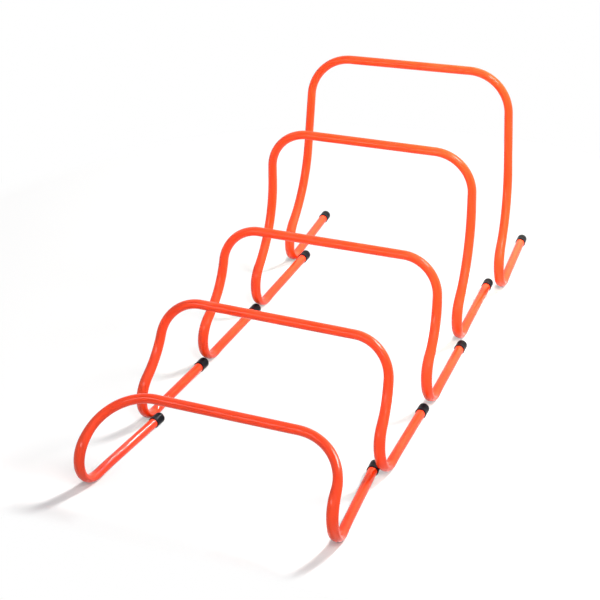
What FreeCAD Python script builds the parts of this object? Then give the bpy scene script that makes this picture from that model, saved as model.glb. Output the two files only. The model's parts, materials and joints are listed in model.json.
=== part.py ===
import FreeCAD, Part
import math
import os
import Sketcher

# A graduated set of speed hurdles, standing heel to toe in one lane.
# Each hurdle is one plastic tube, bent into a bar, two corners, two legs, two heels and two
# feet, with a push-on cap on the end of each foot.
# X runs across the lane, Y along it from the lowest hurdle to the highest, and Z is up.
# The origin is on the floor, in the middle of the set.
# Lengths are in millimetres, and bends are measured on the tube's centre line.

# Sizes that all the hurdles share.
SHARED_SIZES = {
    "tube_diameter": 18.0,
    "tube_wall": 1.6,
    # The heel bend turns the foot up and back into the leg.
    "heel_radius": 51.0,
    # Half the distance between the two heels of a hurdle, before its own flare.
    "heel_spread": 231.0,
    # The knee turns the slanting lower leg into the steep upper leg.
    # A leg too short for the whole bend takes what fits.
    "knee_bend_degrees": 50.0,
    # Least straight stretch between the knee or heel bend and the corner bend.
    "bend_gap": 2.0,
    # Push-on cap: a cup whose bore takes the tube's end.
    "cap_length": 26.0,
    "cap_wall": 1.6,
    "cap_clearance": 0.05,
    "cap_end": 4.0,
    "cap_end_radius": 5.5,
    "cap_mouth_radius": 0.6,
    "cap_lead_in": 0.4,
}

# Sizes of each hurdle, from the lowest to the highest.
# bar_height: from the floor to the top of the bar.
# bar_setback: how far the bar stands behind the point where the heels touch the floor.
# corner_spread: half the length of the bar, out to where its line meets the legs' lines.
# corner_run: how far from that meeting point the corner bend begins.
# heel_flare: how much further out than the shared spread the heels stand.
# knee_radius: of the knee bend, wider on the tall hurdles.
# foot_length: from the point where the heel touches the floor to the end of the tube.
# toe_in_degrees: how far each foot is turned in towards the other.
# tuck: how far the caps of the hurdle in front, if any, reach past the front of these heels.
# side_place and turn_degrees: how the hurdle was stood in the lane by hand.
HURDLE_SIZES = {
    "hurdle_1": {
        "bar_height": 163.5,
        "bar_setback": 53.5,
        "corner_spread": 225.0,
        "corner_run": 91.0,
        "heel_flare": 3.5,
        "knee_radius": 150.0,
        "foot_length": 204.0,
        "toe_in_degrees": 5.2,
        "side_place": -2.0,
        "turn_degrees": -0.8,
    },
    "hurdle_2": {
        "bar_height": 238.5,
        "bar_setback": 44.5,
        "corner_spread": 219.0,
        "corner_run": 67.5,
        "heel_flare": 6.5,
        "knee_radius": 146.0,
        "foot_length": 190.0,
        "toe_in_degrees": 2.0,
        "tuck": 43.5,
        "side_place": 1.5,
        "turn_degrees": -1.3,
    },
    "hurdle_3": {
        "bar_height": 274.0,
        "bar_setback": 52.5,
        "corner_spread": 216.0,
        "corner_run": 68.5,
        "heel_flare": 0.5,
        "knee_radius": 142.0,
        "foot_length": 192.5,
        "toe_in_degrees": 2.0,
        "tuck": 9.5,
        "side_place": 7.0,
        "turn_degrees": 0.1,
    },
    "hurdle_4": {
        "bar_height": 380.5,
        "bar_setback": 53.0,
        "corner_spread": 212.5,
        "corner_run": 78.0,
        "heel_flare": -15.0,
        "knee_radius": 214.0,
        "foot_length": 218.0,
        "toe_in_degrees": 1.7,
        "tuck": 11.0,
        "side_place": -1.0,
        "turn_degrees": 1.2,
    },
    "hurdle_5": {
        "bar_height": 454.5,
        "bar_setback": 81.0,
        "corner_spread": 212.0,
        "corner_run": 83.0,
        "heel_flare": 4.0,
        "knee_radius": 199.0,
        "foot_length": 205.5,
        "toe_in_degrees": 0.8,
        "tuck": 50.5,
        "side_place": -3.5,
        "turn_degrees": 4.0,
    },
}

UP = FreeCAD.Vector(0, 0, 1)
ACROSS = FreeCAD.Vector(1, 0, 0)
NOWHERE = FreeCAD.Vector(0, 0, 0)

# Formulas that the caps and tubes share, in the words of the sheet.
TUBE_RADIUS = "sizes.tube_diameter / 2"
TUBE_BORE_RADIUS = "sizes.tube_diameter / 2 - sizes.tube_wall"
CAP_BORE_RADIUS = "sizes.tube_diameter / 2 + sizes.cap_clearance"
CAP_RADIUS = "sizes.tube_diameter / 2 + sizes.cap_clearance + sizes.cap_wall"
CAP_BORE_DEPTH = "sizes.cap_length - sizes.cap_end"


def fill_sheet(doc):
    """Write every size to the sheet, each under its own alias."""
    rows = dict(SHARED_SIZES)
    for hurdle, own_sizes in HURDLE_SIZES.items():
        for name, value in own_sizes.items():
            rows[f"{hurdle}_{name}"] = value
    sheet = doc.addObject("Spreadsheet::Sheet", "sizes")
    for row, (alias, value) in enumerate(rows.items(), start=1):
        sheet.set(f"A{row}", alias)
        sheet.set(f"B{row}", str(value))
        sheet.setAlias(f"B{row}", alias)
    doc.recompute()
    return sheet


def mirrored(point):
    """The same point on the other side of the hurdle."""
    return FreeCAD.Vector(-point.x, point.y, point.z)


class TubeLine:
    """Centre line of one hurdle's tube, in the hurdle's own frame.

    The left half is worked out, from the foot's end to the bar, and the right half mirrors it.
    The frame's origin is on the floor, midway between the points where the heels touch it.
    """

    def __init__(self, sheet, hurdle):
        self.sheet = sheet
        self.hurdle = hurdle
        self.tube_radius = sheet.tube_diameter / 2
        self.cap_radius = self.tube_radius + sheet.cap_clearance + sheet.cap_wall
        self.cap_bore_depth = sheet.cap_length - sheet.cap_end
        self.set_plane()
        self.set_bends()
        self.set_foot()

    def own(self, size):
        """A size of this hurdle, by its name."""
        return getattr(self.sheet, f"{self.hurdle}_{size}")

    def set_plane(self):
        """Find the plane of foot, heel and leg: toed in, and leaning towards the bar's end."""
        toe_in = math.radians(self.own("toe_in_degrees"))
        heel_spread = self.sheet.heel_spread + self.own("heel_flare")
        bar_rise = self.own("bar_height") - self.sheet.tube_diameter
        inset = heel_spread - self.own("corner_spread") - self.own("bar_setback") * math.sin(toe_in)
        inward = FreeCAD.Vector(math.cos(toe_in), -math.sin(toe_in), 0)
        self.lean = math.atan2(inset, bar_rise * math.cos(toe_in))
        self.back = FreeCAD.Vector(math.sin(toe_in), math.cos(toe_in), 0)
        self.rising = UP * math.cos(self.lean) + inward * math.sin(self.lean)
        self.touchdown = FreeCAD.Vector(-heel_spread, 0, self.tube_radius)
        self.corner_along = self.own("bar_setback")
        self.corner_above = bar_rise / math.cos(self.lean)

    def set_bends(self):
        """Find the slants of the lower and upper leg, and the turn that the knee has room for."""
        heel_radius = self.sheet.heel_radius
        knee_radius = self.own("knee_radius")
        above_heel = self.corner_above - heel_radius
        reach = math.hypot(self.corner_along, above_heel)
        straight_leg = math.sqrt(reach ** 2 - heel_radius ** 2)
        self.corner_run = min(self.own("corner_run"), straight_leg - self.sheet.bend_gap)

        # Heel and knee bend one way and the other, so their centres lie both radii apart.
        centres = heel_radius + knee_radius
        upper = self.corner_run + self.sheet.bend_gap
        swing = math.hypot(upper, knee_radius)
        spare = (reach ** 2 - centres ** 2 - upper ** 2 - knee_radius ** 2) / (2 * centres)
        most_turn = math.atan2(knee_radius, upper) + math.asin(max(-1, min(1, spare / swing)))
        self.knee_turn = max(0, min(math.radians(self.sheet.knee_bend_degrees), most_turn))

        aside = centres * math.cos(self.knee_turn) - knee_radius
        along = math.sqrt(reach ** 2 - aside ** 2)
        self.upper_slant = math.atan2(above_heel, self.corner_along) - math.atan2(aside, along)
        self.lower_slant = self.upper_slant - self.knee_turn

    def set_foot(self):
        """Tip the foot up just enough for the cap and the heel to stand on the same floor."""
        heel_radius = self.sheet.heel_radius
        to_mouth = self.own("foot_length") - self.cap_bore_depth
        lift = (self.cap_radius - self.tube_radius) / math.cos(self.lean)
        swing = math.hypot(to_mouth, heel_radius)
        self.foot_slant = math.atan2(heel_radius, to_mouth) + math.asin((lift - heel_radius) / swing)

    def at(self, along, above):
        """Point of the leg's plane, from how far behind and above the touchdown it lies."""
        return self.touchdown + self.back * along + self.rising * above

    def way(self, slant):
        """Direction in the leg's plane that points back and rises by the slant."""
        return self.back * math.cos(slant) + self.rising * math.sin(slant)

    def on_heel(self, turn):
        """Point of the heel bend, by its turn from the lowest point."""
        radius = self.sheet.heel_radius
        return self.at(-radius * math.sin(turn), radius - radius * math.cos(turn))

    def on_knee(self, slant):
        """Point of the knee bend, by the slant of the leg there."""
        radius = self.own("knee_radius")
        heel_radius = self.sheet.heel_radius
        centres = heel_radius + radius
        along = radius * math.sin(slant) - centres * math.sin(self.lower_slant)
        above = heel_radius + centres * math.cos(self.lower_slant) - radius * math.cos(slant)
        return self.at(along, above)

    def foot_end(self):
        """End of the tube on the left foot."""
        return self.on_heel(-self.foot_slant) + self.way(self.foot_slant) * self.own("foot_length")

    def left_half(self):
        """Stretches from the left foot's end to the bar: two points a straight, three an arc."""
        heel_end = math.pi - self.lower_slant
        heel = [self.on_heel(-self.foot_slant), self.on_heel(heel_end / 2), self.on_heel(heel_end)]
        stretches = [[self.foot_end(), heel[0]], heel]
        leg_start = heel[-1]
        if self.knee_turn > 0:
            middle = (self.lower_slant + self.upper_slant) / 2
            knee = [leg_start, self.on_knee(middle), self.on_knee(self.upper_slant)]
            stretches.append(knee)
            leg_start = knee[-1]

        leg_way = self.way(self.upper_slant)
        corner = self.at(self.corner_along, self.corner_above)
        turn = leg_way.getAngle(ACROSS)
        inside = (ACROSS - leg_way).normalize()
        bend_start = corner - leg_way * self.corner_run
        bend_middle = corner + inside * self.corner_run * math.tan(turn / 4)
        bend_end = corner + ACROSS * self.corner_run
        stretches.append([leg_start, bend_start])
        stretches.append([bend_start, bend_middle, bend_end])
        return stretches

    def wire(self):
        """The whole centre line, from the left foot's end to the right foot's end."""
        left = self.left_half()
        bar_end = left[-1][-1]
        right = [[mirrored(point) for point in reversed(points)] for points in reversed(left)]
        edges = []
        for points in left + [[bar_end, mirrored(bar_end)]] + right:
            curve = Part.LineSegment(*points) if len(points) == 2 else Part.Arc(*points)
            edges.append(curve.toShape())
        return Part.Wire(edges)

    def cap_placement(self, side):
        """Place of a cap's mouth in the hurdle's frame, its axis along the foot."""
        foot_way = self.way(self.foot_slant)
        mouth = self.foot_end() - foot_way * self.cap_bore_depth
        if side == "right":
            foot_way = mirrored(foot_way)
            mouth = mirrored(mouth)
        return FreeCAD.Placement(mouth, FreeCAD.Rotation(UP, foot_way))


def lane_places(sheet):
    """Place of each hurdle along the lane, from the caps that tuck in past its heels."""
    heel_front = sheet.heel_radius + sheet.tube_diameter / 2
    places = {}
    place = 0
    for hurdle in HURDLE_SIZES:
        if places:
            place += foot_reach + heel_front - getattr(sheet, f"{hurdle}_tuck")
        places[hurdle] = place
        foot_reach = getattr(sheet, f"{hurdle}_foot_length") + sheet.cap_end
    return places


def make_tube(doc, label, line):
    """Hollow tube swept along its centre line: a solid rod with its bore cut out."""
    spine = doc.addObject("Part::Feature", f"{label}_line")
    spine.Shape = line.wire()
    rods = []
    for role, radius in (("outside", TUBE_RADIUS), ("bore", TUBE_BORE_RADIUS)):
        ring = doc.addObject("Part::Circle", f"{label}_{role}_ring")
        ring.setExpression("Radius", radius)
        ring.Placement = FreeCAD.Placement(line.foot_end(), FreeCAD.Rotation(UP, line.way(line.foot_slant)))
        rod = doc.addObject("Part::Sweep", f"{label}_{role}")
        rod.Sections = [ring]
        rod.Spine = (spine, [f"Edge{count}" for count in range(1, len(spine.Shape.Edges) + 1)])
        rod.Solid = True
        rods.append(rod)
    tube = doc.addObject("Part::Cut", label)
    tube.Label = label
    tube.Base, tube.Tool = rods
    return tube


def add_disc_sketch(body, name, radius):
    """Sketch on the body's base plane: one circle about the axis, its radius bound to the sheet."""
    sketch = body.newObject("Sketcher::SketchObject", name)
    base_plane = next(plane for plane in body.Origin.OriginFeatures if plane.Role == "XY_Plane")
    sketch.AttachmentSupport = (base_plane, [""])
    sketch.MapMode = "FlatFace"
    circle = sketch.addGeometry(Part.Circle(NOWHERE, UP, body.Document.sizes.tube_diameter), False)
    # Point 3 of a circle is its centre, and point 1 of geometry -1 is the sketch's origin.
    sketch.addConstraint(Sketcher.Constraint("Coincident", circle, 3, -1, 1))
    size = sketch.addConstraint(Sketcher.Constraint("Radius", circle, body.Document.sizes.tube_diameter))
    sketch.setExpression(f"Constraints[{size}]", radius)
    return sketch


def rim(shape, radius, height):
    """Name of the circular edge of that radius at that height on the cap's axis."""
    found = []
    for count, edge in enumerate(shape.Edges, start=1):
        if not isinstance(edge.Curve, Part.Circle):
            continue
        same_radius = math.isclose(edge.Curve.Radius, radius, rel_tol=1e-6)
        same_height = math.isclose(edge.Curve.Center.z, height, rel_tol=1e-6, abs_tol=1e-6 * radius)
        if same_radius and same_height:
            found.append(f"Edge{count}")
    return found


def make_cap(doc, label):
    """Push-on cap about the Z axis, its mouth at the origin and its closed end above."""
    sheet = doc.sizes
    body = doc.addObject("PartDesign::Body", label)
    body.Label = label

    cup = body.newObject("PartDesign::Pad", f"{label}_cup")
    cup.Profile = add_disc_sketch(body, f"{label}_outline", CAP_RADIUS)
    cup.setExpression("Length", "sizes.cap_length")
    doc.recompute()

    bore = body.newObject("PartDesign::Pocket", f"{label}_bore")
    bore.Profile = add_disc_sketch(body, f"{label}_bore_outline", CAP_BORE_RADIUS)
    bore.setExpression("Length", CAP_BORE_DEPTH)
    bore.Reversed = True
    doc.recompute()

    bore_radius = sheet.tube_diameter / 2 + sheet.cap_clearance
    cap_radius = bore_radius + sheet.cap_wall
    closed_end = body.newObject("PartDesign::Fillet", f"{label}_closed_end")
    closed_end.Base = (bore, rim(bore.Shape, cap_radius, sheet.cap_length))
    closed_end.setExpression("Radius", "sizes.cap_end_radius")
    doc.recompute()

    mouth = body.newObject("PartDesign::Fillet", f"{label}_mouth")
    mouth.Base = (closed_end, rim(closed_end.Shape, cap_radius, 0))
    mouth.setExpression("Radius", "sizes.cap_mouth_radius")
    doc.recompute()

    lead_in = body.newObject("PartDesign::Chamfer", f"{label}_lead_in")
    lead_in.Base = (mouth, rim(mouth.Shape, bore_radius, 0))
    lead_in.setExpression("Size", "sizes.cap_lead_in")
    doc.recompute()
    body.Tip = lead_in
    return body


def make_hurdle(doc, hurdle, lane_place):
    """Tube and two caps of one hurdle, each with its place in the lane."""
    sheet = doc.sizes
    line = TubeLine(sheet, hurdle)
    stand = FreeCAD.Placement(
        FreeCAD.Vector(line.own("side_place"), lane_place, 0),
        FreeCAD.Rotation(UP, line.own("turn_degrees")),
    )
    pieces = {f"{hurdle}_tube": stand}
    make_tube(doc, f"{hurdle}_tube", line)
    for side in ("left", "right"):
        label = f"{hurdle}_{side}_cap"
        make_cap(doc, label)
        pieces[label] = stand.multiply(line.cap_placement(side))
    doc.recompute()
    for label, placement in pieces.items():
        doc.getObject(label).Placement = placement
    return [doc.getObject(label) for label in pieces]


def centre_on_floor(pieces):
    """Shift the set along the floor so that the origin is in the middle of its box."""
    box = FreeCAD.BoundBox()
    for piece in pieces:
        box.add(piece.Shape.optimalBoundingBox(False))
    shift = FreeCAD.Placement(FreeCAD.Vector(-box.Center.x, -box.Center.y, 0), FreeCAD.Rotation())
    for piece in pieces:
        piece.Placement = shift.multiply(piece.Placement)


def check(doc, pieces):
    """Stop if any object failed, or any piece is empty or not a valid single solid."""
    for item in doc.Objects:
        if "Invalid" in item.State or "Error" in item.State:
            raise RuntimeError(f"{item.Label} failed: {item.State}")
    for piece in pieces:
        if piece.Shape.isNull() or not piece.Shape.isValid() or len(piece.Shape.Solids) != 1:
            raise RuntimeError(f"{piece.Label} is not one valid solid")


def compare_volumes(doc):
    """Print each tube's volume beside its section times its length."""
    sheet = doc.sizes
    bore = sheet.tube_diameter - 2 * sheet.tube_wall
    section = math.pi * (sheet.tube_diameter ** 2 - bore ** 2) / 4
    for hurdle in HURDLE_SIZES:
        expected = section * doc.getObject(f"{hurdle}_tube_line").Shape.Length
        print(hurdle, "tube volume", doc.getObject(f"{hurdle}_tube").Shape.Volume, "expected", expected)


def main():
    """Build the set, check it and write one file for each piece."""
    doc = FreeCAD.newDocument("speed_hurdles")
    sheet = fill_sheet(doc)
    pieces = []
    for hurdle, lane_place in lane_places(sheet).items():
        pieces += make_hurdle(doc, hurdle, lane_place)
    doc.recompute()
    centre_on_floor(pieces)
    doc.recompute()
    check(doc, pieces)
    compare_volumes(doc)
    os.makedirs("parts", exist_ok=True)
    for piece in pieces:
        piece.Shape.exportStep(f"parts/{piece.Label}.step")


main()
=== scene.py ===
"""Looks of a graduated set of speed hurdles: bent plastic tubes with push-on caps on their feet."""
import json
import logging
import math
from collections.abc import Callable, Iterator
from contextlib import contextmanager
from dataclasses import dataclass, field
from enum import Enum

import bpy
import numpy as np
from bpy.types import Material, Mesh, Node, NodeOutputs, NodeSocket, NodeTree, Object
from mathutils import Matrix, Vector, kdtree


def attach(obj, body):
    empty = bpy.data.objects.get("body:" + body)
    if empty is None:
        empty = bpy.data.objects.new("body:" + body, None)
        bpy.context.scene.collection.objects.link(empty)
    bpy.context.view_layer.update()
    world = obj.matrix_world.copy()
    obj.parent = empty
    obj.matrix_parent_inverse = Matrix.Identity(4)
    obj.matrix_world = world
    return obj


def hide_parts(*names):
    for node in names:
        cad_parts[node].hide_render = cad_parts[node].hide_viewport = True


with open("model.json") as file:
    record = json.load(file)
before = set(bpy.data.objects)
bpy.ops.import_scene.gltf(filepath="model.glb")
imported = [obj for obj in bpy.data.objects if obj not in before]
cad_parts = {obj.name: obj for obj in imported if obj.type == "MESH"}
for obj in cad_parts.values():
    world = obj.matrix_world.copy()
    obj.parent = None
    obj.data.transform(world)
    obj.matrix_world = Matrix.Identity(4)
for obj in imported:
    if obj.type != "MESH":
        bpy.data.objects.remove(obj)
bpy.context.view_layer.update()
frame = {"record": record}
LOG = logging.getLogger("speed_hurdles")

ACROSS = Vector((1.0, 0.0, 0.0))
UP = Vector((0.0, 0.0, 1.0))
WHITE = (1.0, 1.0, 1.0, 1.0)

# Names of the vertex attributes that the finishes read.
UNBENT = "unbent"
BEND_SIDE = "bend_side"
CAP_PLACE = "cap_place"

# Where a Mix node for colours has its share, its two colours and its result.
MIX_SHARE, MIX_FIRST, MIX_SECOND, MIX_RESULT = 0, 6, 7, 2

Triple = tuple[float, float, float]
Colour = tuple[float, float, float, float]
Sources = dict[str | int, object]


class Side(Enum):
    """The two feet of a hurdle."""

    LEFT = "left"
    RIGHT = "right"


class Element(Enum):
    """Kinds of mesh element that are selected in code, with the mesh's own name for each."""

    VERT = "vertices"
    FACE = "polygons"


class Bend(Enum):
    """Kinds of bend in a tube."""

    HEEL = (0.185, 0.00010)
    KNEE = (0.060, 0.0)
    CORNER = (0.030, 0.0)

    def __init__(self, flattening: float, crease: float) -> None:
        """Keep what the bend does to the tube.

        Args:
            flattening: Share of the radius that it takes off in its plane and adds across it.
            crease: Height of the ripples on its inside, in metres.
        """
        self.flattening = flattening
        self.crease = crease


@dataclass(frozen=True)
class Span:
    """From where a change starts to where it ends, in either order."""

    start: float
    end: float


@dataclass(frozen=True)
class Grain:
    """A noise pattern: its cells in a metre across and along a piece, and its levels of detail."""

    across: float
    along: float
    detail: float

    def scale(self) -> Triple:
        """Cells in a metre along each axis, with Z along the piece."""
        return (self.across, self.across, self.along)


@dataclass(frozen=True)
class Relief:
    """How a height shows as a bump: its share, and the depth of a height of one in metres."""

    share: float
    depth: float


NOUGHT_TO_ONE = Span(0.0, 1.0)


def heel_rests() -> dict[str, Vector]:
    """Where each heel stands on the floor, by the name of its resting point."""
    return {mount["name"]: Vector(mount["pos_m"]) for mount in frame["record"]["mounts"]}


def smooth_step(share: float) -> float:
    """Ease a share in and out, held between nought and one."""
    share = min(1.0, max(0.0, share))
    return share * share * (3 - 2 * share)


def facing(way: Vector) -> Matrix:
    """Turn that points the Z axis a given way."""
    return way.to_track_quat("Z", "Y").to_matrix().to_4x4()


def only(piece: Object) -> None:
    """Select one object and make it active, with everything else deselected.

    Args:
        piece: The object.
    """
    bpy.ops.object.select_all(action="DESELECT")
    piece.select_set(True)
    bpy.context.view_layer.objects.active = piece


@contextmanager
def editing(piece: Object) -> Iterator[None]:
    """Go into edit mode on one object, and leave it at the end of the with block.

    Args:
        piece: The object.
    """
    only(piece)
    bpy.ops.object.mode_set(mode="EDIT")
    yield
    bpy.ops.object.mode_set(mode="OBJECT")


def choose(mesh: Mesh, kind: Element, wanted: Callable[[object], bool]) -> None:
    """Select the elements that pass a test, and no others.

    Args:
        mesh: The mesh, in edit mode.
        kind: The kind of element.
        wanted: Says whether one of them is to be selected.
    """
    bpy.ops.mesh.select_all(action="DESELECT")
    bpy.ops.object.mode_set(mode="OBJECT")
    for element in getattr(mesh, kind.value):
        element.select = wanted(element)
    bpy.ops.object.mode_set(mode="EDIT")
    bpy.ops.mesh.select_mode(type=kind.name)


def named(name: str) -> Object:
    """Give the active object, and its mesh, a plain name.

    Args:
        name: The name.

    Returns:
        The active object.
    """
    piece = bpy.context.object
    piece.name = name
    piece.data.name = name
    return piece


def settle(piece: Object, place: Matrix) -> None:
    """Put the piece in its place and move that place into its mesh.

    Args:
        piece: The object, modelled about the origin.
        place: Where it stands in the shared frame.
    """
    only(piece)
    piece.matrix_world = place
    bpy.ops.object.transform_apply(location=True, rotation=True, scale=True)


def write_attribute(mesh: Mesh, name: str, values: np.ndarray) -> None:
    """Store one value or vector for each vertex.

    Args:
        mesh: The mesh that gets the attribute.
        name: Name that the materials read it by.
        values: One row for each vertex.
    """
    is_vector = values.ndim == 2
    layer = mesh.attributes.new(name, "FLOAT_VECTOR" if is_vector else "FLOAT", "POINT")
    layer.data.foreach_set("vector" if is_vector else "value", values.astype(np.float32).ravel())


# Shader nodes.


@dataclass
class NodeBoard:
    """Nodes of one tree, added and joined with few words."""

    tree: NodeTree

    def feed(self, node: Node, sources: Sources) -> None:
        """Join a node's inputs to other nodes, or write plain values on them.

        Args:
            node: The node.
            sources: An output socket or a value for each input, by its name or number.
        """
        for name, source in sources.items():
            if isinstance(source, NodeSocket):
                self.tree.links.new(source, node.inputs[name])
            else:
                node.inputs[name].default_value = source

    def add(self, kind: str, sources: Sources | None = None, **settings: object) -> Node:
        """Add one node, set its fields and feed its inputs.

        Args:
            kind: Blender's name of the node type, without the common prefix.
            sources: What feeds each input.
            settings: Values of the node's own fields.

        Returns:
            The new node.
        """
        node = self.tree.nodes.new(f"ShaderNode{kind}")
        for name, value in settings.items():
            setattr(node, name, value)
        self.feed(node, sources or {})
        return node

    def attribute(self, name: str, output: str) -> NodeSocket:
        """One of the mesh's own attributes."""
        return self.add("Attribute", attribute_name=name).outputs[output]

    def split(self, vector: NodeSocket) -> NodeOutputs:
        """The X, Y and Z of a vector."""
        return self.add("SeparateXYZ", {0: vector}).outputs

    def distance(self, place: NodeSocket, point: Vector) -> NodeSocket:
        """Distance of a place from a fixed point."""
        return self.add("VectorMath", {0: place, 1: point}, operation="DISTANCE").outputs["Value"]

    def calculate(self, operation: str, first: object, second: object = 0.0) -> NodeSocket:
        """One step of arithmetic on one or two values, clamped to no range."""
        return self.add("Math", {0: first, 1: second}, operation=operation).outputs[0]

    def plus(self, first: object, second: object) -> NodeSocket:
        """Sum of two values."""
        return self.calculate("ADD", first, second)

    def times(self, first: object, second: object) -> NodeSocket:
        """Product of two values."""
        return self.calculate("MULTIPLY", first, second)

    def larger(self, first: object, second: object) -> NodeSocket:
        """The larger of two values."""
        return self.calculate("MAXIMUM", first, second)

    def noise(self, place: NodeSocket, grain: Grain) -> NodeSocket:
        """Noise pattern over a piece, as a value around one half."""
        scaled = self.add("VectorMath", {0: place, 1: grain.scale()}, operation="MULTIPLY").outputs[0]
        return self.add("TexNoise", {"Vector": scaled, "Scale": 1.0, "Detail": grain.detail}).outputs["Fac"]

    def ramp(self, value: NodeSocket, over: Span, gives: Span = NOUGHT_TO_ONE) -> NodeSocket:
        """Remap a value by a smooth step, clamped at both ends.

        Args:
            value: The value.
            over: Where the step starts and ends.
            gives: The results before and after it.

        Returns:
            The remapped value.
        """
        node = self.add("MapRange", {"Value": value}, interpolation_type="SMOOTHSTEP")
        self.feed(node, {"From Min": over.start, "From Max": over.end})
        self.feed(node, {"To Min": gives.start, "To Max": gives.end})
        return node.outputs["Result"]

    def blend(self, share: object, first: object, second: object) -> NodeSocket:
        """Mix of two colours by the share of the second."""
        sources = {MIX_SHARE: share, MIX_FIRST: first, MIX_SECOND: second}
        return self.add("Mix", sources, data_type="RGBA").outputs[MIX_RESULT]

    def between(self, share: NodeSocket, first: Node, second: Node) -> Node:
        """Mix of two shaders by the share of the second."""
        return self.add("MixShader", {0: share, 1: first.outputs[0], 2: second.outputs[0]})

    def bump(self, *layers: tuple[NodeSocket, Relief]) -> NodeSocket:
        """Bend the normal by one height after another.

        Args:
            layers: Each height, with how strongly it shows.

        Returns:
            The new normal.
        """
        node = None
        for height, relief in layers:
            earlier = {"Normal": node.outputs["Normal"]} if node else {}
            sources = {"Height": height, "Strength": relief.share, "Distance": relief.depth}
            node = self.add("Bump", sources | earlier)
        return node.outputs["Normal"]

    def looked_at(self) -> NodeSocket:
        """One for rays that look, straight or by a reflection or glass, and nought for those that light."""
        path = self.add("LightPath").outputs
        seen = self.larger(path["Is Camera Ray"], path["Is Glossy Ray"])
        return self.larger(seen, path["Is Transmission Ray"])

    def mask(self, tree: NodeTree, **sources: object) -> NodeSocket:
        """Mask of a node group that is fed by the names of its inputs."""
        return self.add("Group", sources, node_tree=tree).outputs["Mask"]


def new_material(name: str) -> tuple[Material, NodeBoard]:
    """Make a material that is built from nodes.

    Args:
        name: Its name.

    Returns:
        The material, and the board of its nodes.
    """
    material = bpy.data.materials.new(name)
    material.use_nodes = True
    return material, NodeBoard(material.node_tree)


class EffectGroup:
    """A node group that more than one material places, and that gives a mask."""

    def __init__(self, name: str, inputs: dict[str, str]) -> None:
        """Make the tree and its sockets.

        Args:
            name: Name of the group.
            inputs: Socket type of each input, by its name.
        """
        self.tree = bpy.data.node_groups.new(name, "ShaderNodeTree")
        for socket, kind in inputs.items():
            self.tree.interface.new_socket(socket, in_out="INPUT", socket_type=f"NodeSocket{kind}")
        self.tree.interface.new_socket("Mask", in_out="OUTPUT", socket_type="NodeSocketFloat")
        self.board = NodeBoard(self.tree)
        self.given = self.tree.nodes.new("NodeGroupInput").outputs
        self.result = self.tree.nodes.new("NodeGroupOutput")


@dataclass(frozen=True)
class Scuffs:
    """Fine scratches that run two ways, broken up in patches."""

    lengthwise: Grain = Grain(1500.0, 60.0, 3.0)
    lengthwise_edge: Span = Span(0.62, 0.72)
    crosswise: Grain = Grain(110.0, 1900.0, 3.0)
    crosswise_edge: Span = Span(0.64, 0.73)
    patches: Grain = Grain(55.0, 55.0, 3.0)
    patch_edge: Span = Span(0.44, 0.66)

    def group(self) -> NodeTree:
        """Build the effect.

        Returns:
            The group, with a mask of the scratches.
        """
        effect = EffectGroup("fine_scuffs", {"Place": "Vector", "Amount": "Float"})
        board, place = effect.board, effect.given["Place"]
        lengthwise = board.ramp(board.noise(place, self.lengthwise), self.lengthwise_edge)
        crosswise = board.ramp(board.noise(place, self.crosswise), self.crosswise_edge)
        patches = board.ramp(board.noise(place, self.patches), self.patch_edge)
        lines = board.times(board.larger(lengthwise, crosswise), patches)
        board.feed(effect.result, {"Mask": board.times(lines, effect.given["Amount"])})
        return effect.tree


@dataclass(frozen=True)
class DustFilm:
    """Thin dust that lies on faces that look up, uneven like wiped dust."""

    clouds: Grain = Grain(38.0, 38.0, 4.0)
    cloud_edge: Span = Span(0.35, 0.75)
    cloud_share: float = 0.7
    specks: Grain = Grain(1400.0, 1400.0, 1.0)
    speck_edge: Span = Span(0.66, 0.74)
    speck_share: float = 0.6
    upward: Span = Span(0.25, 1.0)

    def group(self) -> NodeTree:
        """Build the effect.

        Returns:
            The group, with a mask of the dust.
        """
        effect = EffectGroup("dust_film", {"Place": "Vector", "Normal": "Vector", "Amount": "Float"})
        board, place = effect.board, effect.given["Place"]
        upward = board.ramp(board.split(effect.given["Normal"])["Z"], self.upward)
        clouds = board.ramp(board.noise(place, self.clouds), self.cloud_edge)
        specks = board.ramp(board.noise(place, self.specks), self.speck_edge)
        cover = board.plus(board.times(clouds, self.cloud_share), board.times(specks, self.speck_share))
        cover = board.times(cover, upward)
        board.feed(effect.result, {"Mask": board.times(cover, effect.given["Amount"])})
        return effect.tree


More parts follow.
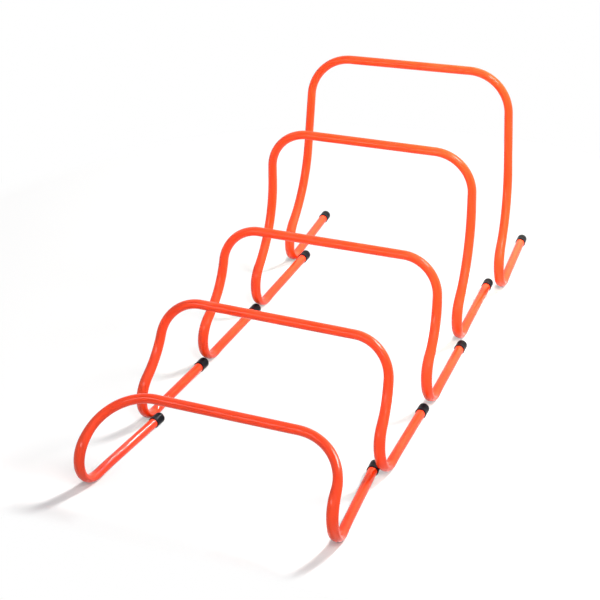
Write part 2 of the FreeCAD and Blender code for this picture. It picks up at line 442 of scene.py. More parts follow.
@dataclass(frozen=True)
class TubeFinish:
    """Glossy orange-red extruded plastic."""

    body: Colour = (0.91, 0.055, 0.009, 1.0)
    deep: Colour = (0.88, 0.043, 0.005, 1.0)
    strained: Colour = (0.94, 0.068, 0.016, 1.0)
    scuffed: Colour = (0.92, 0.180, 0.110, 1.0)
    dusty: Colour = (0.75, 0.420, 0.340, 1.0)
    pigment: Grain = Grain(40.0, 9.0, 3.0)
    die_lines: Grain = Grain(1100.0, 7.0, 3.0)
    waves: Grain = Grain(120.0, 45.0, 1.0)
    uneven: Span = Span(0.30, 0.72)
    gloss: Span = Span(0.11, 0.17)
    outside_share: Span = Span(0.0, 0.45)
    inside: Span = Span(0.0, -1.0)
    inside_share: Span = Span(0.0, 0.50)
    by_floor: Span = Span(0.010, 0.001)
    scuff_amount: Span = Span(0.06, 0.60)
    scuff_roughness: float = 0.30
    dust_amount: float = 0.04
    dust_roughness: float = 0.50
    wave_relief: Relief = Relief(0.04, 0.00035)
    die_relief: Relief = Relief(0.04, 0.00006)
    scuff_relief: Relief = Relief(0.25, 0.00005)
    ior: float = 1.49
    specular: float = 0.28

    def material(self, scuffs: NodeTree, dust: NodeTree) -> Material:
        """Build the finish: die lines, uneven pigment, strained bends, scuffs and dust.

        Args:
            scuffs: The group of fine scratches.
            dust: The group of thin dust.

        Returns:
            The material of every tube.
        """
        material, board = new_material("orange_tube_plastic")
        place = board.attribute(UNBENT, "Vector")
        bend = board.attribute(BEND_SIDE, "Fac")

        pigment = board.noise(place, self.pigment)
        colour = board.blend(board.ramp(pigment, self.uneven), self.deep, self.body)
        colour = board.blend(board.ramp(bend, NOUGHT_TO_ONE, self.outside_share), colour, self.strained)
        colour = board.blend(board.ramp(bend, self.inside, self.inside_share), colour, self.deep)

        height = board.split(board.add("TexCoord").outputs["Object"])["Z"]
        near_floor = board.ramp(height, self.by_floor, self.scuff_amount)
        scratches = board.mask(scuffs, Place=place, Amount=near_floor)
        normal = board.add("NewGeometry").outputs["Normal"]
        film = board.mask(dust, Place=place, Normal=normal, Amount=self.dust_amount)
        colour = board.blend(scratches, colour, self.scuffed)
        colour = board.blend(film, colour, self.dusty)

        die_lines = board.noise(place, self.die_lines)
        rough = board.ramp(die_lines, self.uneven, self.gloss)
        rough = board.plus(rough, board.times(scratches, self.scuff_roughness))
        rough = board.plus(rough, board.times(film, self.dust_roughness))
        waves = board.noise(place, self.waves)
        normal = board.bump(
            (waves, self.wave_relief), (die_lines, self.die_relief), (scratches, self.scuff_relief))
        shader = board.tree.nodes["Principled BSDF"]
        board.feed(shader, {"Base Color": colour, "Roughness": rough, "Normal": normal})
        board.feed(shader, {"IOR": self.ior, "Specular IOR Level": self.specular})
        return material


@dataclass(frozen=True)
class CapFinish:
    """Satin black moulded cap."""

    body: Colour = (0.0030, 0.0026, 0.0050, 1.0)
    faded: Colour = (0.0060, 0.0054, 0.0096, 1.0)
    # The lighter rim colour is rubbing wear at the mouth and on scratches, and a painted sheen on the
    # rounded end.
    rubbed_and_sheen: Colour = (0.023, 0.021, 0.033, 1.0)
    dusty: Colour = (0.080, 0.076, 0.080, 1.0)
    mottle: Grain = Grain(260.0, 260.0, 4.0)
    faded_edge: Span = Span(0.34, 0.70)
    uneven: Span = Span(0.30, 0.72)
    satin: Span = Span(0.30, 0.46)
    rim_patches: Grain = Grain(420.0, 420.0, 4.0)
    rim_patch_edge: Span = Span(0.42, 0.62)
    # How far the rounded end is lightened by a painted sheen.
    shoulder_sheen: Span = Span(0.0, 0.8)
    rim_wear_and_sheen_share: float = 0.45
    scuff_amount: float = 0.30
    dust_amount: float = 0.06
    wear_roughness: float = 0.25
    grain: Grain = Grain(2600.0, 2600.0, 2.0)
    grain_relief: Relief = Relief(0.35, 0.00005)
    parting: Span = Span(0.00030, 0.0)
    parting_relief: Relief = Relief(0.60, 0.00008)
    ior: float = 1.50
    specular: float = 0.06

    def material(self, scuffs: NodeTree, dust: NodeTree, mould: "CapMould") -> Material:
        """Build the finish: moulded grain, a rubbed mouth rim, a painted sheen on the rounded end, a parting
        line, scuffs and dust.

        Args:
            scuffs: The group of fine scratches.
            dust: The group of thin dust.
            mould: The cap's sizes, for the rubbed mouth rim and the painted sheen on the rounded end.

        Returns:
            The material of every cap.
        """
        material, board = new_material("black_cap_moulding")
        place = board.attribute(CAP_PLACE, "Vector")
        parts = board.split(place)

        mottle = board.noise(place, self.mottle)
        colour = board.blend(board.ramp(mottle, self.faded_edge), self.body, self.faded)
        # The mouth rim is lightened by rubbing wear, and the rounded end by a painted sheen; both are broken
        # up in patches.
        mouth = board.ramp(parts["Z"], Span(mould.bead_length, 0.0))
        rounding = Span(mould.length - mould.end_radius, mould.length)
        shoulder = board.ramp(parts["Z"], rounding, self.shoulder_sheen)
        rim_patches = board.ramp(board.noise(place, self.rim_patches), self.rim_patch_edge)
        rims = board.times(board.larger(mouth, shoulder), rim_patches)
        colour = board.blend(board.times(rims, self.rim_wear_and_sheen_share), colour, self.rubbed_and_sheen)
        scratches = board.mask(scuffs, Place=place, Amount=self.scuff_amount)
        normal = board.add("NewGeometry").outputs["Normal"]
        film = board.mask(dust, Place=place, Normal=normal, Amount=self.dust_amount)
        colour = board.blend(scratches, colour, self.rubbed_and_sheen)
        colour = board.blend(film, colour, self.dusty)

        rough = board.ramp(mottle, self.uneven, self.satin)
        rough = board.plus(rough, board.times(board.plus(scratches, film), self.wear_roughness))
        parting = board.ramp(board.calculate("ABSOLUTE", parts["Y"]), self.parting)
        grain = board.noise(place, self.grain)
        normal = board.bump((grain, self.grain_relief), (parting, self.parting_relief))
        shader = board.tree.nodes["Principled BSDF"]
        board.feed(shader, {"Base Color": colour, "Roughness": rough, "Normal": normal})
        board.feed(shader, {"IOR": self.ior, "Specular IOR Level": self.specular})
        return material


# The tube's centre line, in each hurdle's own frame.


@dataclass(frozen=True)
class Pull:
    """What a bend does to one ring: how strongly, where its inside lies, and how far in the ring is."""

    kind: Bend
    strength: float
    angle: float
    within: float


@dataclass
class Station:
    """One ring of a tube: where its centre is, and how the tube runs and bends there."""

    centre: Vector
    along: float
    tangent: Vector
    side: Vector
    pulls: list[Pull] = field(default_factory=list)

    def over(self) -> Vector:
        """Direction square to the tube and to its side."""
        return self.tangent.cross(self.side)


class Stretch:
    """A part of the centre line that is drawn in even steps."""

    fewest: int = 2

    def steps(self) -> int:
        """Number of rings that the stretch adds."""
        return max(self.fewest, round(self.length() / self.step))


@dataclass
class Run(Stretch):
    """A straight stretch of the centre line."""

    start: Vector
    end: Vector
    step: float = 0.018

    def length(self) -> float:
        """Length of the stretch."""
        return (self.end - self.start).length

    def draw(self) -> None:
        """Extrude the selected ring along the stretch."""
        move = (self.end - self.start) / self.steps()
        for _ in range(self.steps()):
            bpy.ops.mesh.extrude_region_move(TRANSFORM_OT_translate={"value": move})

    def turned(self, share: float) -> Matrix:
        """Movement from the stretch's start to that share of it."""
        return Matrix.Translation((self.end - self.start) * share)


@dataclass
class Turn(Stretch):
    """A bent stretch of the centre line, about a centre and an axis."""

    start: Vector
    centre: Vector
    axis: Vector
    angle: float
    kind: Bend
    step: float = 0.0024

    def length(self) -> float:
        """Length of the stretch."""
        return (self.start - self.centre).length * self.angle

    def draw(self) -> None:
        """Spin the selected ring round the bend; the operator turns the other way round its axis."""
        bpy.ops.mesh.spin(steps=self.steps(), angle=-self.angle, center=self.centre, axis=self.axis)

    def turned(self, share: float) -> Matrix:
        """Movement from the stretch's start to that share of it."""
        there = Matrix.Translation(self.centre)
        return there @ Matrix.Rotation(self.angle * share, 4, self.axis) @ there.inverted()

    def inward(self) -> Vector:
        """Direction from the start of the bend to its centre."""
        return (self.centre - self.start).normalized()


@dataclass
class TubeStock:
    """Sizes of the tube and its bends that all the hurdles share, in metres."""

    radius: float = 0.0090
    wall: float = 0.0016
    sides: int = 48
    heel_radius: float = 0.051
    knee_degrees: float = 50.0
    bend_gap: float = 0.002
    crease_pitch: float = 0.0105
    crease_narrowing: int = 3
    flatten_fade: float = 0.070
    merge_distance: float = 0.0000009
    smooth_degrees: float = 50.0


@dataclass
class CapMould:
    """Push-on cap: a cup about the Z axis with its mouth at the origin, in metres."""

    radius: float = 0.01065
    bore_radius: float = 0.00905
    length: float = 0.026
    end: float = 0.004
    end_radius: float = 0.0055
    end_steps: int = 9
    sides: int = 64
    bead_length: float = 0.0026
    bead_height: float = 0.00028
    bead_slope: float = 0.00091
    wall_cut: float = 0.0121
    rim_radius: float = 0.000392
    rim_steps: int = 3
    gate_radius: float = 0.0016
    gate_slope: float = 0.0004
    gate_depth: float = 0.0004
    slack: float = 0.00001
    merge_distance: float = 0.000001
    smooth_degrees: float = 42.0

    def bore_depth(self) -> float:
        """Depth that the tube goes in."""
        return self.length - self.end

    def wall_radius(self) -> float:
        """Radius of the wall behind the mouth's bead."""
        return self.radius - self.bead_height

    def pick_rims(self, mesh: Mesh, height: float) -> None:
        """Select the edges round the cap at a height."""
        choose(mesh, Element.VERT, lambda vertex: abs(vertex.co.z - height) <= self.slack)
        bpy.ops.mesh.select_mode(type="EDGE")

    def pick_face(self, mesh: Mesh, height: float) -> None:
        """Select the one flat face about the axis at a height."""
        choose(mesh, Element.FACE, lambda face: (face.center - UP * height).length < self.slack)

    def build(self) -> Object:
        """Model the cap once: cup, bore, rounded end, mouth bead and the moulding's gate mark.

        Returns:
            The cap that the others are copied from.
        """
        bpy.ops.object.select_all(action="DESELECT")
        bpy.ops.mesh.primitive_cylinder_add(
            vertices=self.sides, radius=self.wall_radius(), depth=self.length, location=UP * self.length / 2)
        bpy.ops.object.transform_apply(location=True)
        cap = named("cap_master")
        with editing(cap):
            self.pick_rims(cap.data, self.length)
            bpy.ops.mesh.bevel(offset=self.end_radius, segments=self.end_steps, affect="EDGES")
            self.pick_face(cap.data, self.length)
            bpy.ops.mesh.inset(thickness=self.wall_radius() - self.end_radius - self.gate_radius)
            bpy.ops.mesh.inset(thickness=self.gate_slope, depth=-self.gate_depth)
            self.pick_face(cap.data, 0.0)
            bpy.ops.mesh.inset(thickness=self.wall_radius() - self.bore_radius)
            bpy.ops.mesh.extrude_region_move(TRANSFORM_OT_translate={"value": UP * self.bore_depth()})
            self.raise_bead(cap.data)
            self.pick_rims(cap.data, 0.0)
            bpy.ops.mesh.bevel(offset=self.rim_radius, segments=self.rim_steps, affect="EDGES")
            bpy.ops.mesh.select_all(action="SELECT")
            bpy.ops.mesh.remove_doubles(threshold=self.merge_distance)
            bpy.ops.mesh.normals_make_consistent(inside=False)
        only(cap)
        bpy.ops.object.shade_smooth_by_angle(angle=math.radians(self.smooth_degrees))
        places = np.array([vertex.co[:] for vertex in cap.data.vertices])
        write_attribute(cap.data, CAP_PLACE, places)
        return cap

    def raise_bead(self, mesh: Mesh) -> None:
        """Cut the wall near the mouth and swell the strip next to it into a bead.

        Args:
            mesh: The cap's mesh, in edit mode.
        """
        for height in (self.bead_length, self.bead_length + self.bead_slope, self.wall_cut):
            bpy.ops.mesh.select_all(action="SELECT")
            bpy.ops.mesh.bisect(plane_co=UP * height, plane_no=UP)
        top = self.bead_length + self.slack
        middle = (self.radius + self.bore_radius) / 2
        choose(mesh, Element.VERT, lambda vertex: vertex.co.z <= top and vertex.co.xy.length > middle)
        swell = self.radius / self.wall_radius()
        bpy.ops.transform.resize(value=(swell, swell, 1.0), center_override=(0.0, 0.0, 0.0))


@dataclass
class Hurdle:
    """One hurdle: a bent tube and the caps on its two feet, in metres."""

    name: str
    bar_height: float
    bar_setback: float
    corner_spread: float
    corner_run: float
    knee_radius: float
    foot_length: float
    toe_in_degrees: float
    stock: TubeStock
    mould: CapMould

    def __post_init__(self) -> None:
        """Take the hurdle's place from its two resting points, and work out its centre line."""
        rests = heel_rests()
        left = rests[f"{self.name}_left_heel"]
        right = rests[f"{self.name}_right_heel"]
        self.heel_spread = (right - left).length / 2
        turn = math.atan2(right.y - left.y, right.x - left.x)
        self.stand = Matrix.Translation((left + right) / 2) @ Matrix.Rotation(turn, 4, "Z")
        self.set_plane()
        self.set_bends()
        self.set_foot()

    def set_plane(self) -> None:
        """Find the plane of the left foot, heel and leg."""
        toe_in = math.radians(self.toe_in_degrees)
        rise = self.bar_height - 2 * self.stock.radius
        inset = self.heel_spread - self.corner_spread - self.bar_setback * math.sin(toe_in)
        inward = Vector((math.cos(toe_in), -math.sin(toe_in), 0.0))
        self.lean = math.atan2(inset, rise * math.cos(toe_in))
        self.back = Vector((math.sin(toe_in), math.cos(toe_in), 0.0))
        self.rising = UP * math.cos(self.lean) + inward * math.sin(self.lean)
        self.hinge = self.back.cross(self.rising)
        self.touchdown = Vector((-self.heel_spread, 0.0, self.stock.radius))
        self.corner_above = rise / math.cos(self.lean)

    def set_bends(self) -> None:
        """Find the slants of the lower and upper leg, and the turn that the knee has room for."""
        heel, knee = self.stock.heel_radius, self.knee_radius
        above = self.corner_above - heel
        reach = math.hypot(self.bar_setback, above)
        self.run = min(self.corner_run, math.sqrt(reach ** 2 - heel ** 2) - self.stock.bend_gap)
        upper = self.run + self.stock.bend_gap
        spare = (reach ** 2 - (heel + knee) ** 2 - upper ** 2 - knee ** 2) / (2 * (heel + knee))
        most = math.atan2(knee, upper) + math.asin(max(-1.0, min(1.0, spare / math.hypot(upper, knee))))
        self.knee_turn = max(0.0, min(math.radians(self.stock.knee_degrees), most))
        aside = (heel + knee) * math.cos(self.knee_turn) - knee
        along = math.sqrt(reach ** 2 - aside ** 2)
        self.upper_slant = math.atan2(above, self.bar_setback) - math.atan2(aside, along)
        self.lower_slant = self.upper_slant - self.knee_turn

    def set_foot(self) -> None:
        """Tip the foot up just enough for the cap and the heel to stand on the same floor."""
        heel = self.stock.heel_radius
        to_mouth = self.foot_length - self.mould.bore_depth()
        lift = (self.mould.radius - self.stock.radius) / math.cos(self.lean)
        self.foot_slant = math.atan2(heel, to_mouth) + math.asin((lift - heel) / math.hypot(to_mouth, heel))

    def at(self, along: float, above: float) -> Vector:
        """Point of the leg's plane, from how far behind and above the touchdown it lies."""
        return self.touchdown + self.back * along + self.rising * above

    def way(self, slant: float) -> Vector:
        """Direction in the leg's plane that points back and rises by the slant."""
        return self.back * math.cos(slant) + self.rising * math.sin(slant)

    def right_corner(self) -> Vector:
        """Where the lines of the bar and the right leg meet, in the shared frame."""
        return self.stand @ self.mirrored(self.at(self.bar_setback, self.corner_above))

    def foot_end(self) -> Vector:
        """Find where the left foot ends.

        Returns:
            The middle of the tube's end.
        """
        heel = self.stock.heel_radius
        start = self.at(heel * math.sin(self.foot_slant), heel - heel * math.cos(self.foot_slant))
        return start + self.way(self.foot_slant) * self.foot_length

    def stretches(self) -> list[Stretch]:
        """Lay out the whole centre line as straight and bent stretches.

        Returns:
            The stretches from the left foot's end to the right foot's end.
        """
        heel, knee = self.stock.heel_radius, self.knee_radius
        foot_end = self.foot_end()
        foot_start = foot_end - self.way(self.foot_slant) * self.foot_length
        heel_angle = math.pi - self.lower_slant + self.foot_slant
        heel_turn = Turn(foot_start, self.at(0.0, heel), -self.hinge, heel_angle, Bend.HEEL)
        left = [Run(foot_end, foot_start), heel_turn]
        leg_start = heel_turn.turned(1.0) @ foot_start
        if self.knee_turn > 0:
            centre = leg_start + (leg_start - heel_turn.centre).normalized() * knee
            knee_turn = Turn(leg_start, centre, self.hinge, self.knee_turn, Bend.KNEE)
            left.append(knee_turn)
            leg_start = knee_turn.turned(1.0) @ leg_start
        leg_way = self.way(self.upper_slant)
        corner = self.at(self.bar_setback, self.corner_above)
        bend_start = corner - leg_way * self.run
        bend_end = corner + ACROSS * self.run
        turn = leg_way.angle(ACROSS)
        inside = (ACROSS - leg_way).normalized()
        centre = corner + inside * (self.run / math.sin(turn / 2))
        left.append(Run(leg_start, bend_start))
        left.append(Turn(bend_start, centre, leg_way.cross(ACROSS).normalized(), turn, Bend.CORNER))
        bar = Run(bend_end, self.mirrored(bend_end))
        return left + [bar] + [self.reflected(stretch) for stretch in reversed(left)]

    @staticmethod
    def mirrored(point: Vector) -> Vector:
        """The same point on the other side of the hurdle."""
        return Vector((-point.x, point.y, point.z))

    def reflected(self, stretch: Stretch) -> Stretch:
        """Copy a stretch to the right half, gone through the other way.

        Args:
            stretch: The stretch on the left half.

        Returns:
            The stretch on the right half.
        """
        if isinstance(stretch, Run):
            return Run(self.mirrored(stretch.end), self.mirrored(stretch.start))
        start = self.mirrored(stretch.turned(1.0) @ stretch.start)
        axis = self.mirrored(stretch.axis)
        return Turn(start, self.mirrored(stretch.centre), axis, stretch.angle, stretch.kind)

    def stations(self, stretches: list[Stretch]) -> list[Station]:
        """Follow the centre line and note each ring's place and frame.

        Args:
            stretches: The stretches in order.

        Returns:
            One station for each ring of the tube.
        """
        tangent = (stretches[0].end - stretches[0].start).normalized()
        side = tangent.orthogonal().normalized()
        found = [Station(stretches[0].start.copy(), 0.0, tangent, side)]
        for stretch in stretches:
            first = found[-1]
            steps = stretch.steps()
            for step in range(1, steps + 1):
                move = stretch.turned(step / steps)
                spin = move.to_3x3()
                along = first.along + stretch.length() * step / steps
                found.append(Station(move @ first.centre, along, spin @ first.tangent, spin @ first.side))
        self.mark_bends(stretches, found)
        return found

    def mark_bends(self, stretches: list[Stretch], stations: list[Station]) -> None:
        """Note at each station how strongly each bend acts, and where its inside lies.

        Args:
            stretches: The stretches in order.
            stations: The stations of their rings, changed in place.
        """
        count, along = 0, 0.0
        for stretch in stretches:
            first = stations[count]
            if isinstance(stretch, Turn):
                inward = stretch.inward()
                angle = math.atan2(inward.dot(first.over()), inward.dot(first.side))
                for station in stations:
                    # A bend acts by half at its own ends, and fades out beyond them.
                    outside = max(along - station.along, station.along - along - stretch.length())
                    strength = smooth_step(0.5 - outside / self.stock.flatten_fade)
                    if strength > 0:
                        station.pulls.append(Pull(stretch.kind, strength, angle, station.along - along))
            count += stretch.steps()
            along += stretch.length()

    def build_tube(self) -> Object:
        """Draw the tube from the left foot's end to the right, shape its bends and give it a wall.

        Returns:
            The finished tube in its place.
        """
        stock, stretches = self.stock, self.stretches()
        start = stretches[0].start
        tangent = (stretches[0].end - start).normalized()
        bpy.ops.object.select_all(action="DESELECT")
        bpy.ops.mesh.primitive_circle_add(vertices=stock.sides, radius=stock.radius, fill_type="NOTHING")
        tube = named(f"{self.name}_bent_tube")
        settle(tube, Matrix.Translation(start) @ facing(tangent))
        with editing(tube):
            bpy.ops.mesh.select_mode(type="VERT")
            bpy.ops.mesh.select_all(action="SELECT")
            for stretch in stretches:
                stretch.draw()
            bpy.ops.mesh.select_all(action="SELECT")
            bpy.ops.mesh.remove_doubles(threshold=stock.merge_distance)
            bpy.ops.mesh.normals_make_consistent(inside=False)
        self.shape_bends(tube.data, self.stations(stretches))
        only(tube)
        # The wall grows inwards from the skin, and rims close it at both ends.
        wall = tube.modifiers.new("wall", "SOLIDIFY")
        wall.thickness, wall.offset, wall.use_rim = stock.wall, -1.0, True
        bpy.ops.object.modifier_apply(modifier=wall.name)
        bpy.ops.object.shade_smooth_by_angle(angle=math.radians(stock.smooth_degrees))
        settle(tube, self.stand)
        return tube

    def shape_bends(self, mesh: Mesh, stations: list[Station]) -> None:
        """Flatten the tube in its bends, ripple the inside of the heels, and store where each point was.

        Args:
            mesh: The tube's outer skin.
            stations: The rings' places.
        """
        tree = kdtree.KDTree(len(stations))
        for number, station in enumerate(stations):
            tree.insert(station.centre, number)
        tree.balance()
        unbent = np.zeros((len(mesh.vertices), 3))
        bend_side = np.zeros(len(mesh.vertices))
        for vertex in mesh.vertices:
            station = stations[tree.find(vertex.co)[1]]
            spoke = vertex.co - station.centre
            beside, above = spoke.dot(station.side), spoke.dot(station.over())
            unbent[vertex.index] = (beside, above, station.along)
            turn = math.atan2(above, beside)
            for pull in station.pulls:
                vertex.co += self.pulled(station, pull, turn)
                weight = pull.strength * pull.kind.flattening / Bend.HEEL.flattening
                bend_side[vertex.index] -= math.cos(turn - pull.angle) * weight
        write_attribute(mesh, UNBENT, unbent)
        write_attribute(mesh, BEND_SIDE, bend_side)

    def pulled(self, station: Station, pull: Pull, turn: float) -> Vector:
        """Work out how a bend moves one point of a ring.

        Args:
            station: The ring.
            pull: What the bend does to it.
            turn: Where round the ring the point lies.

        Returns:
            The movement: inwards in the bend's plane, outwards across it, and rippled on the inside.
        """
        over = station.over()
        inside, across = math.cos(turn - pull.angle), math.sin(turn - pull.angle)
        inward = station.side * math.cos(pull.angle) + over * math.sin(pull.angle)
        beside = over * math.cos(pull.angle) - station.side * math.sin(pull.angle)
        press = self.stock.radius * pull.kind.flattening * pull.strength
        wave = math.sin(math.tau * pull.within / self.stock.crease_pitch)
        narrow = max(0.0, inside) ** self.stock.crease_narrowing
        ripple = pull.kind.crease * pull.strength * narrow * wave
        return inward * (ripple - press * (inside + self.settling(station))) + beside * (press * across)

    def settling(self, station: Station) -> float:
        """One where the flattened tube lies on the floor and stays there, and nought well above it."""
        return smooth_step(1 - (station.centre.z - self.stock.radius) / self.stock.heel_radius)

    def build_cap(self, master: Object, side: Side) -> Object:
        """Copy the cap on to the end of one foot.

        Args:
            master: The cap that was modelled once.
            side: Which foot it goes on.

        Returns:
            The copy, with its own mesh in its place.
        """
        cap = master.copy()
        cap.data = master.data.copy()
        cap.name = cap.data.name = f"{self.name}_{side.value}_push_on_cap"
        bpy.context.collection.objects.link(cap)
        way = self.way(self.foot_slant)
        mouth = self.foot_end() - way * self.mould.bore_depth()
        if side is Side.RIGHT:
            way, mouth = self.mirrored(way), self.mirrored(mouth)
        settle(cap, self.stand @ Matrix.Translation(mouth) @ facing(way))
        return cap

    def dress(self, piece: Object, node: str, slot: str, finish: Material) -> None:
        """Give a piece its finish, attach it to its hurdle's body, and hide the solid that it replaces.

        Args:
            piece: The finished piece.
            node: The solid that it replaces.
            slot: Not used.
            finish: Its material.
        """
        piece.data.materials.clear()
        piece.data.materials.append(finish)
        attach(piece, self.name)
        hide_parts(node)
        LOG.info("%s: %d faces", piece.name, len(piece.data.polygons))


# The studio.


@dataclass(frozen=True)
class Lamp:
    """A soft rectangular lamp that looks at a target from one direction, in degrees, metres and watts."""

    name: str
    azimuth: float
    elevation: float
    distance: float
    width: float
    height: float
    power: float
    colour: Triple = (1.0, 1.0, 1.0)
    mirrored: bool = True
    lights: bool = True
    spread: float = 180.0
    target: Triple = (0.0, 0.0, 0.0)

    def build(self) -> None:
        """Hang the lamp and aim it at its target."""
        data = bpy.data.lights.new(self.name, "AREA")
        data.shape = "RECTANGLE"
        data.size, data.size_y = self.width, self.height
        data.energy = self.power
        data.color = self.colour
        data.spread = math.radians(self.spread)
        lamp = bpy.data.objects.new(self.name, data)
        bpy.context.collection.objects.link(lamp)
        lamp.visible_camera = False
        lamp.visible_glossy = self.mirrored
        lamp.visible_diffuse = self.lights
        azimuth, elevation = math.radians(self.azimuth), math.radians(self.elevation)
        level = math.cos(elevation)
        way = Vector((math.cos(azimuth) * level, math.sin(azimuth) * level, math.sin(elevation)))
        lamp.location = way * self.distance + Vector(self.target)
        lamp.rotation_euler = way.to_track_quat("Z", "Y").to_euler()


@dataclass(frozen=True)
class PhotoCamera:
    """The camera that took the photograph, in the shared frame."""

    lens: float = 98.15
    sensor_width: float = 36.0
    place: Triple = (1.05634, -2.63003, 1.64453)
    forward: Triple = (-0.34610, 0.81040, -0.47273)
    right: Triple = (0.92401, 0.38173, -0.02211)

    def build(self) -> None:
        """Set up the camera and make it the scene's own."""
        data = bpy.data.cameras.new("photo_camera")
        data.lens = self.lens
        data.sensor_width = self.sensor_width
        data.sensor_fit = "HORIZONTAL"
        camera = bpy.data.objects.new("photo_camera", data)
        bpy.context.collection.objects.link(camera)
        back = -Vector(self.forward)
        right = Vector(self.right)
        up = back.cross(right)
        turn = Matrix((right, up, back)).transposed().to_4x4()
        camera.matrix_world = Matrix.Translation(self.place) @ turn
        bpy.context.scene.camera = camera


@dataclass
class Studio:
    """Pale floor, even surround and soft lamps, with places on the floor in metres."""

    floor_reach: float = 14.0
    floor_grey: Colour = (0.46, 0.46, 0.46, 1.0)
    # The floor that is looked at gets whiter along Y, towards the camera.
    whiter: Span = Span(0.30, -0.85)
    whiteness: Span = Span(0.76, 1.0)
    # Its shading is mostly whitened behind the first hurdle's heels, along Y, and in a strip between them.
    row: Span = Span(-0.60, -0.48)
    row_cover: float = 0.86
    arch_middle: float = -0.08
    arch: Span = Span(0.17, 0.11)
    # Near the middle of each heel's shadow, which lies beside the heel, less is whitened.
    heel_shadow: Triple = (-0.035, -0.050, 0.0)
    by_heel: Span = Span(0.11, 0.04)
    heel_cover: Span = Span(1.0, 0.45)
    # All is whitened ahead of the row, along Y, and away from the middle of the set.
    ahead: Span = Span(-0.655, -0.715)
    away: Span = Span(0.80, 1.20)
    # Each right corner's streak panel hangs on the way from that corner to one place.
    streak_place: Triple = (0.90, 0.30, 1.50)
    streak_distance: float = 0.50
    streak_size: float = 0.20
    streak_power: float = 0.28
    streak_spread: float = 44.0
    # The surround that lights the set; where it is looked at, it is white.
    surround: Colour = (0.96, 0.93, 1.0, 1.0)
    surround_level: float = 0.14

    def build_floor(self) -> None:
        """Lay the floor: it passes on light as a grey one does, and looks white with faint shadows."""
        bpy.ops.object.select_all(action="DESELECT")
        bpy.ops.mesh.primitive_plane_add(size=self.floor_reach)
        floor = named("studio_floor")
        material, board = new_material("studio_floor_white")
        board.tree.nodes.remove(board.tree.nodes["Principled BSDF"])
        place = board.add("TexCoord").outputs["Object"]
        parts = board.split(place)
        plain = board.add("BsdfDiffuse", {"Color": self.floor_grey})
        seen = board.add("BsdfDiffuse", {"Color": board.ramp(parts["Y"], self.whiter, self.whiteness)})
        white = board.add("Emission", {"Color": WHITE})
        both = board.between(self.cover(board, place, parts), seen, white)
        choice = board.between(board.looked_at(), plain, both)
        board.feed(board.tree.nodes["Material Output"], {"Surface": choice.outputs[0]})
        floor.data.materials.append(material)

    def cover(self, board: NodeBoard, place: NodeSocket, parts: NodeOutputs) -> NodeSocket:
        """Find how much of the floor's shading is whitened: least by the heels, all of it far off.

        Args:
            board: The floor's nodes.
            place: The place on the floor.
            parts: The same place as X, Y and Z.

        Returns:
            The share, from nought to one.
        """
        beside = board.calculate("ABSOLUTE", board.calculate("SUBTRACT", parts["X"], self.arch_middle))
        share = board.larger(board.ramp(parts["Y"], self.row), board.ramp(beside, self.arch))
        share = board.times(share, self.row_cover)
        for rest in heel_rests().values():
            far = board.distance(place, rest + Vector(self.heel_shadow))
            share = board.times(share, board.ramp(far, self.by_heel, self.heel_cover))
        ahead = board.ramp(parts["Y"], self.ahead)
        away = board.ramp(board.distance(place, Vector()), self.away)
        return board.larger(share, board.larger(ahead, away))

    def build_surround(self) -> None:
        """Light the set evenly from all round, with a white background."""
        world = bpy.data.worlds.new("studio_surround")
        world.use_nodes = True
        board = NodeBoard(world.node_tree)
        light = board.tree.nodes["Background"]
        board.feed(light, {"Color": self.surround, "Strength": self.surround_level})
        white = board.add("Background", {"Color": WHITE, "Strength": 1.0})
        choice = board.between(board.looked_at(), light, white)
        board.feed(board.tree.nodes["World Output"], {"Surface": choice.outputs[0]})
        bpy.context.scene.world = world

    def streak_panel(self, hurdle: Hurdle) -> Lamp:
        """Place a narrow panel that shows only as a streak in the gloss of a hurdle's right corner.

        Args:
            hurdle: The hurdle in its place.

        Returns:
            The panel.
        """
        corner = hurdle.right_corner()
        way = Vector(self.streak_place) - corner
        return Lamp(
            f"{hurdle.name}_streak_panel", azimuth=math.degrees(math.atan2(way.y, way.x)),
            elevation=math.degrees(math.asin(way.z / way.length)), distance=self.streak_distance,
            width=self.streak_size, height=self.streak_size, power=self.streak_power, lights=False,
            spread=self.streak_spread, target=tuple(corner))

    @staticmethod
    def lamps() -> list[Lamp]:
        """The lamps that light the set, and the panels that show only in its gloss."""
        return [
            Lamp("key_softbox", azimuth=50.0, elevation=44.0, distance=2.4, width=0.46, height=0.46,
                 power=86.0, colour=(1.0, 0.985, 0.965), mirrored=False),
            Lamp("front_softbox", azimuth=292.0, elevation=40.0, distance=4.0, width=4.2, height=4.2,
                 power=119.0, mirrored=False),
            Lamp("back_fill", azimuth=300.0, elevation=42.0, distance=3.0, width=1.0, height=1.0,
                 power=8.0, colour=(1.0, 0.97, 0.84), mirrored=False, spread=38.0, target=(0.0, 0.75, 0.0)),
            Lamp("foot_line_panel", azimuth=65.0, elevation=44.0, distance=1.5, width=0.08, height=0.28,
                 power=0.36, lights=False, spread=24.0, target=(-0.23, -0.45, 0.0)),
            Lamp("bar_line_panel", azimuth=250.5, elevation=28.9, distance=1.98, width=0.80, height=0.28,
                 power=5.5, lights=False),
            Lamp("foot_sheen_panel", azimuth=75.0, elevation=28.0, distance=4.0, width=4.5, height=2.4,
                 power=36.0, colour=(1.0, 1.0, 0.45), lights=False),
        ]

    def build(self, hurdles: list[Hurdle]) -> None:
        """Set up the floor, the surround, the lamps and the camera.

        Args:
            hurdles: The hurdles in their places.
        """
        self.build_floor()
        self.build_surround()
        for lamp in [self.streak_panel(hurdle) for hurdle in hurdles] + self.lamps():
            lamp.build()
        PhotoCamera().build()


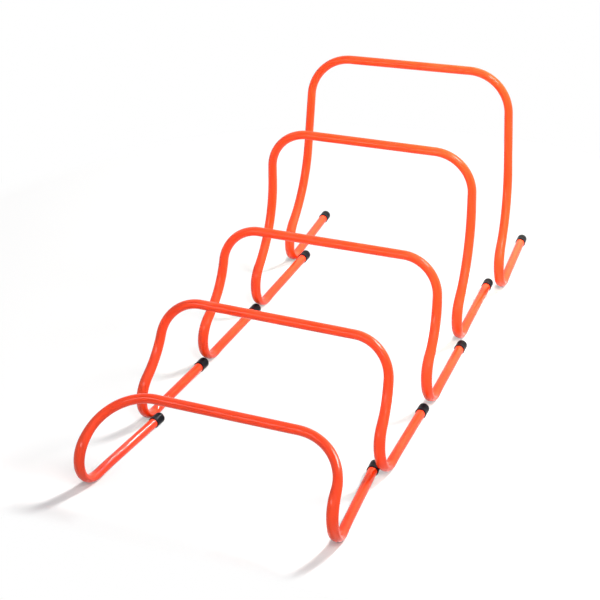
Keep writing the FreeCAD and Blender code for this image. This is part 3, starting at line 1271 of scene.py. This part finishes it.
def hurdle_row(stock: TubeStock, mould: CapMould) -> list[Hurdle]:
    """Size the five hurdles, from the lowest to the highest.

    Args:
        stock: The tube that all are bent from.
        mould: The cap that all their feet have.

    Returns:
        The hurdles in their places.
    """
    return [
        Hurdle("hurdle_1", bar_height=0.1635, bar_setback=0.0535, corner_spread=0.2250, corner_run=0.0910,
               knee_radius=0.150, foot_length=0.2040, toe_in_degrees=5.2, stock=stock, mould=mould),
        Hurdle("hurdle_2", bar_height=0.2385, bar_setback=0.0445, corner_spread=0.2190, corner_run=0.0675,
               knee_radius=0.146, foot_length=0.1900, toe_in_degrees=2.0, stock=stock, mould=mould),
        Hurdle("hurdle_3", bar_height=0.2740, bar_setback=0.0525, corner_spread=0.2160, corner_run=0.0685,
               knee_radius=0.142, foot_length=0.1925, toe_in_degrees=2.0, stock=stock, mould=mould),
        Hurdle("hurdle_4", bar_height=0.3805, bar_setback=0.0530, corner_spread=0.2125, corner_run=0.0780,
               knee_radius=0.214, foot_length=0.2180, toe_in_degrees=1.7, stock=stock, mould=mould),
        Hurdle("hurdle_5", bar_height=0.4545, bar_setback=0.0810, corner_spread=0.2120, corner_run=0.0830,
               knee_radius=0.199, foot_length=0.2055, toe_in_degrees=0.8, stock=stock, mould=mould),
    ]


def main() -> None:
    """Build the hurdles and the studio."""
    logging.basicConfig(level=logging.INFO, format="%(name)s: %(message)s")
    scuffs, dust = Scuffs().group(), DustFilm().group()
    tube_finish = TubeFinish().material(scuffs, dust)
    stock, mould = TubeStock(), CapMould()
    cap_finish = CapFinish().material(scuffs, dust, mould)
    master = mould.build()
    hurdles = hurdle_row(stock, mould)
    for hurdle in hurdles:
        hurdle.dress(hurdle.build_tube(), f"{hurdle.name}_tube", "tube", tube_finish)
        for side in Side:
            cap = hurdle.build_cap(master, side)
            hurdle.dress(cap, f"{hurdle.name}_{side.value}_cap", "cap", cap_finish)
    bpy.data.objects.remove(master)
    Studio().build(hurdles)
    bpy.context.scene.view_settings.view_transform = "Standard"


if __name__ == "__main__":
    main()
